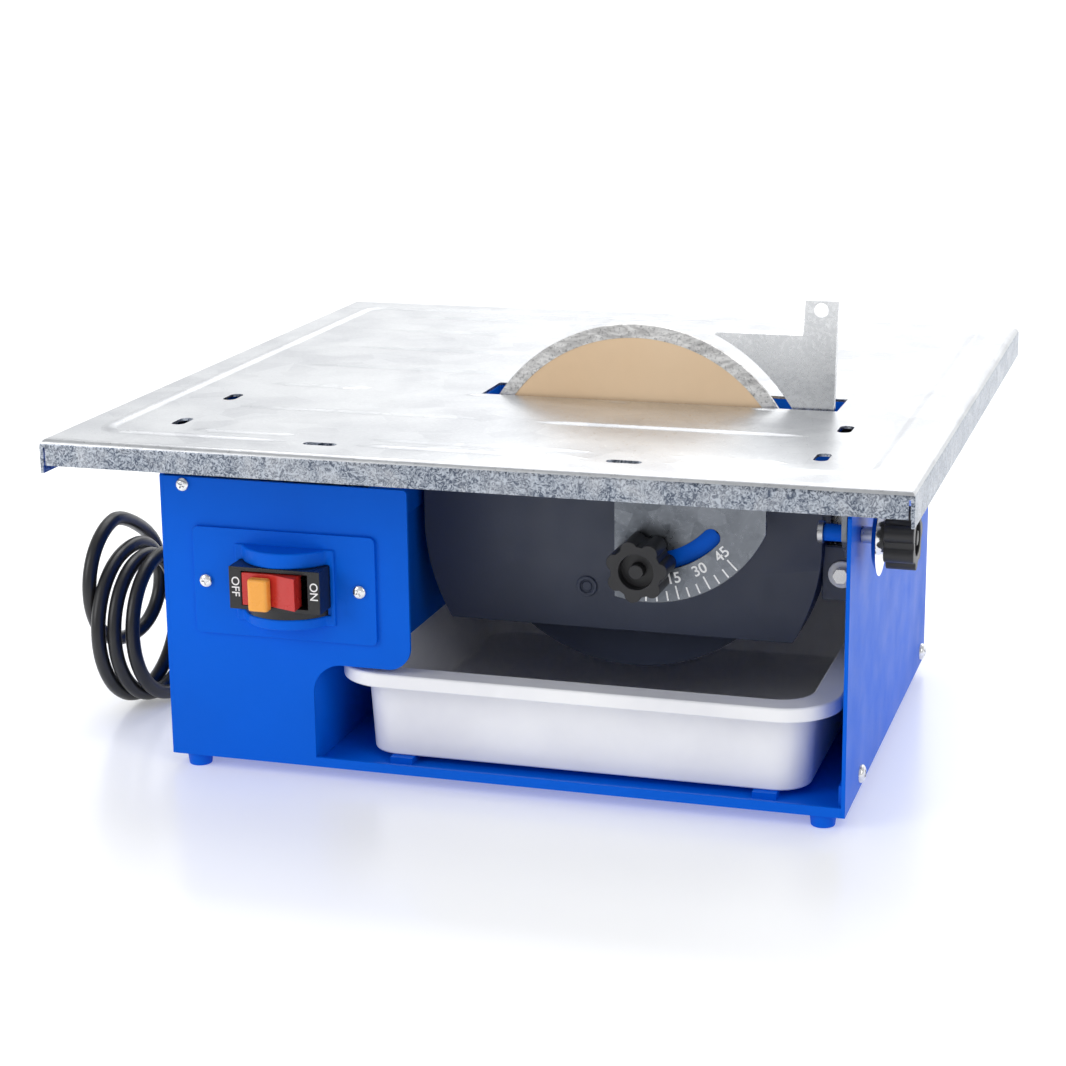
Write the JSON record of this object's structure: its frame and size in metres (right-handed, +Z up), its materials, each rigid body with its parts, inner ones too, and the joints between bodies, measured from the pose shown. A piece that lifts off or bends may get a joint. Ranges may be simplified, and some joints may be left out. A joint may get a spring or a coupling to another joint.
{
  "type": "tile cutter",
  "caption": "Tabletop wet tile cutter: blue sheet case with a tilting galvanised table, blade and riving knife through a slot, guard, water tray, tilt scale, clamp knobs, keyed switch and cord",
  "frame": {"origin": "on the floor under the middle of the table", "axes": "+X to the right along the switch face, +Y to the back, +Z up"},
  "size_m": [0.4746, 0.43, 0.242],
  "materials": {
    "blue": "blue powder coat, satin",
    "zinc": "galvanised sheet, satin",
    "steel": "plated steel",
    "chrome": "bright plated",
    "blade": "tinted blade steel",
    "rim": "diamond grit rim",
    "slate": "dark slate plastic",
    "white": "white moulded plastic",
    "black": "black moulded plastic",
    "red": "red rocker",
    "orange": "orange key",
    "cord": "black rubber sheath",
    "cast": "cast motor parts",
    "copper": "wound core",
    "iron": "dark painted steel"
  },
  "bodies": {
    "case": {"base_pan": "blue", "left_wall": "blue", "right_wall": "blue", "rear_wall": "blue", "front_panel": "blue", "inner_partition": "blue", "cross_rail": "blue", "scale_plate": "zinc", "rubber_feet": "blue", "body_screws": "zinc", "rest_pads": "black", "hinge_pins": "steel", "clamp_bolt_right": "steel", "clamp_sleeve": "blue", "clamp_spacer": "steel", "clamp_washer": "chrome", "arm_pivot": "steel", "motor_housing": "cast", "motor_end_cover": "cast", "motor_stator": "copper", "motor_bearings": "steel", "motor_plate": "iron", "guard_front": "slate", "guard_rear": "slate", "guard_bracket": "iron", "guard_washer": "white", "guard_bolt": "zinc", "riving_knife": "steel", "knife_mount": "iron", "knife_bolts": "zinc", "switch_plate": "blue", "switch_hood": "blue", "switch_body": "black", "switch_pin": "steel", "switch_screws": "zinc", "capacitor": "cast", "cord_grip": "black", "power_cord": "cord", "cord_coil": "cord", "plug": "black"},
    "table": {"table_top": "zinc", "slot_frame": "blue", "ear_left": "zinc", "ear_right": "zinc"},
    "rotor": {"blade_core": "blade", "blade_rim": "rim", "flange_inner": "steel", "flange_outer": "steel", "arbor_nut": "steel", "motor_shaft": "steel", "motor_rotor": "steel", "cooling_fan": "black"},
    "arm": {"tilt_arm": "blue", "clamp_bolt_front": "steel"},
    "front_knob": {"clamp_knob_front": "black"},
    "right_knob": {"clamp_knob_right": "black"},
    "rocker": {"switch_rocker": "red"},
    "key": {"safety_key": "orange"},
    "tray": {"water_tray": "white"}
  },
  "joints": [
    {"name": "table_tilt", "type": "hinge", "parent": "case", "child": "table", "pos_m": [0, -0.13, 0.174], "axis": [1, 0, 0], "range_deg": [0, 45]},
    {"name": "tilt_arm_swing", "type": "hinge", "parent": "case", "child": "arm", "pos_m": [0.0733, -0.1355, 0.168], "axis": [0, -1, 0], "range_deg": [0, 45]},
    {"name": "blade_spin", "type": "hinge", "parent": "case", "child": "rotor", "pos_m": [0.046, -0.053, 0.136], "axis": [0, 1, 0], "continuous": true},
    {"name": "front_knob_turn", "type": "hinge", "parent": "arm", "child": "front_knob", "pos_m": [0.0733, -0.15, 0.1235], "axis": [0, -1, 0], "range_deg": [0, 360]},
    {"name": "right_knob_turn", "type": "hinge", "parent": "case", "child": "right_knob", "pos_m": [0.196, -0.13, 0.142], "axis": [1, 0, 0], "range_deg": [0, 360]},
    {"name": "switch_rock", "type": "hinge", "parent": "case", "child": "rocker", "pos_m": [-0.1095, -0.17, 0.1055], "axis": [0, 0, 1], "range_deg": [0, 20]},
    {"name": "key_pull", "type": "slide", "parent": "rocker", "child": "key", "axis": [0, -1, 0], "range_m": [0, 0.012]},
    {"name": "tray_slide", "type": "slide", "parent": "case", "child": "tray", "axis": [0, -1, 0], "range_m": [0, 0.12]}
  ],
  "couplings": [
    {"joint": "tilt_arm_swing", "follows": "table_tilt", "ratio": 1}
  ]
}
